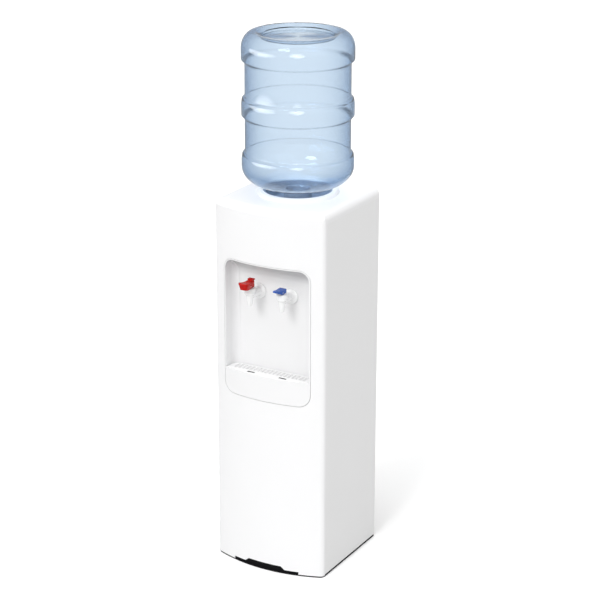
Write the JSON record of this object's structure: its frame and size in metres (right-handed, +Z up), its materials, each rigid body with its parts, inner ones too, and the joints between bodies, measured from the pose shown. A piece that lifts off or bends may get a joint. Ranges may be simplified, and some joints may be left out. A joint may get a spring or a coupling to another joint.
{
  "type": "top load water cooler",
  "caption": "Floor-standing bottled water cooler with a bowed front, an upturned clear bottle, a shallow dispensing alcove with hot and cold lever taps, and a drip tray.",
  "frame": {"origin": "on the floor, in the middle of the cabinet's width and depth", "axes": "+Z up, front and taps towards -Y, +X to the right as seen from the front"},
  "size_m": [0.302, 0.327, 1.329],
  "materials": {
    "panel_white": "smooth white",
    "panel_steel": "white enamel, satin",
    "base_black": "matte black",
    "alcove_white": "smooth white",
    "grille_white": "smooth white",
    "bottle_blue": "clear blue polycarbonate",
    "cap_blue": "satin blue",
    "guard_dark": "satin dark slate",
    "food_white": "satin white",
    "stainless": "brushed",
    "galvanised": "dull zinc",
    "spring_steel": "bright",
    "foam": "skinned foam",
    "silicone": "translucent white",
    "black_paint": "satin black",
    "black_rubber": "matte",
    "black_plastic": "satin",
    "copper": "drawn copper",
    "tap_white": "smooth white",
    "lever_red": "glossy red",
    "lever_blue": "glossy blue",
    "rocker_red": "glossy red",
    "rocker_green": "glossy green"
  },
  "bodies": {
    "cabinet": {"base": "base_black", "side_left": "panel_steel", "side_right": "panel_steel", "front_panel": "panel_white", "top_cover": "panel_white", "back_panel": "galvanised", "surround": "alcove_white", "cold_tank": "stainless", "tank_lid": "foam", "baffle": "food_white", "evaporator": "copper", "foam_jacket": "foam", "tank_shelf": "galvanised", "hot_tank": "stainless", "hot_jacket": "foam", "cutouts": "black_plastic", "hot_shelf": "galvanised", "cold_hose": "silicone", "hot_hose": "silicone", "feed_hose": "silicone", "drain_hose": "silicone", "drain_outlet": "food_white", "compressor": "black_paint", "grommets": "black_rubber", "relay_box": "black_plastic", "condenser": "black_paint", "condenser_wires": "black_paint", "condenser_clips": "black_plastic", "filter_drier": "copper", "refrigerant_lines": "copper", "thermostat": "galvanised", "switch_frames": "black_plastic", "cord_gland": "black_plastic", "tap_body_hot": "tap_white", "tap_nut_hot": "tap_white", "bonnet_hot": "tap_white", "spring_hot": "spring_steel", "lever_pin_hot": "spring_steel", "tap_body_cold": "tap_white", "tap_nut_cold": "tap_white", "bonnet_cold": "tap_white", "spring_cold": "spring_steel", "lever_pin_cold": "spring_steel"},
    "guard": {"water_guard": "guard_dark", "feed_probe": "food_white"},
    "bottle": {"bottle": "bottle_blue", "bottle_cap": "cap_blue"},
    "tray": {"drip_tray": "alcove_white"},
    "grille": {"drip_grille": "grille_white"},
    "lever_hot": {"lever_hot": "lever_red"},
    "catch": {"hot_catch": "lever_red"},
    "stem_hot": {"stem_hot": "food_white", "seal_hot": "silicone"},
    "lever_cold": {"lever_cold": "lever_blue"},
    "stem_cold": {"stem_cold": "food_white", "seal_cold": "silicone"},
    "rocker_hot": {"rocker_hot": "rocker_red"},
    "rocker_cold": {"rocker_cold": "rocker_green"},
    "knob": {"thermostat_knob": "black_plastic"},
    "drain_cap": {"drain_cap": "food_white"}
  },
  "joints": [
    {"name": "guard_lift", "type": "slide", "parent": "cabinet", "child": "guard", "axis": [0, 0, 1], "range_m": [0, 0.08]},
    {"name": "bottle_lift", "type": "slide", "parent": "guard", "child": "bottle", "axis": [0, 0, 1], "range_m": [0, 0.12]},
    {"name": "tray_pull", "type": "slide", "parent": "cabinet", "child": "tray", "axis": [0, -1, 0], "range_m": [0, 0.045]},
    {"name": "grille_lift", "type": "slide", "parent": "tray", "child": "grille", "axis": [0, 0, 1], "range_m": [0, 0.03]},
    {"name": "hot_lever_swing", "type": "hinge", "parent": "cabinet", "child": "lever_hot", "pos_m": [-0.0442, -0.1455, 0.737], "axis": [1, 0, 0], "range_deg": [0, 20], "stiffness_Nm_per_rad": 0.02, "springref_deg": -5.73},
    {"name": "cold_lever_swing", "type": "hinge", "parent": "cabinet", "child": "lever_cold", "pos_m": [0.0442, -0.1455, 0.737], "axis": [1, 0, 0], "range_deg": [0, 20], "stiffness_Nm_per_rad": 0.02, "springref_deg": -5.73},
    {"name": "hot_stem_lift", "type": "slide", "parent": "cabinet", "child": "stem_hot", "axis": [0, 0, 1], "range_m": [0, 0.0028], "deforming": ["spring_hot"]},
    {"name": "cold_stem_lift", "type": "slide", "parent": "cabinet", "child": "stem_cold", "axis": [0, 0, 1], "range_m": [0, 0.0028], "deforming": ["spring_cold"]},
    {"name": "hot_catch_push", "type": "slide", "parent": "lever_hot", "child": "catch", "axis": [0, 1, 0], "range_m": [0, 0.003], "stiffness_N_per_m": 60, "springref_m": -0.002},
    {"name": "hot_rocker_tip", "type": "hinge", "parent": "cabinet", "child": "rocker_hot", "pos_m": [0.056, 0.125, 0.86], "axis": [1, 0, 0], "range_deg": [0, 20]},
    {"name": "cold_rocker_tip", "type": "hinge", "parent": "cabinet", "child": "rocker_cold", "pos_m": [0.092, 0.125, 0.86], "axis": [1, 0, 0], "range_deg": [0, 20]},
    {"name": "thermostat_turn", "type": "hinge", "parent": "cabinet", "child": "knob", "pos_m": [-0.08, 0.1382, 0.86], "axis": [0, 1, 0], "range_deg": [0, 270]},
    {"name": "drain_cap_off", "type": "slide", "parent": "cabinet", "child": "drain_cap", "axis": [0, 1, 0], "range_m": [0, 0.015]}
  ],
  "couplings": [
    {"joint": "hot_stem_lift", "follows": "hot_lever_swing", "m_per_rad": 0.008},
    {"joint": "cold_stem_lift", "follows": "cold_lever_swing", "m_per_rad": 0.008}
  ]
}
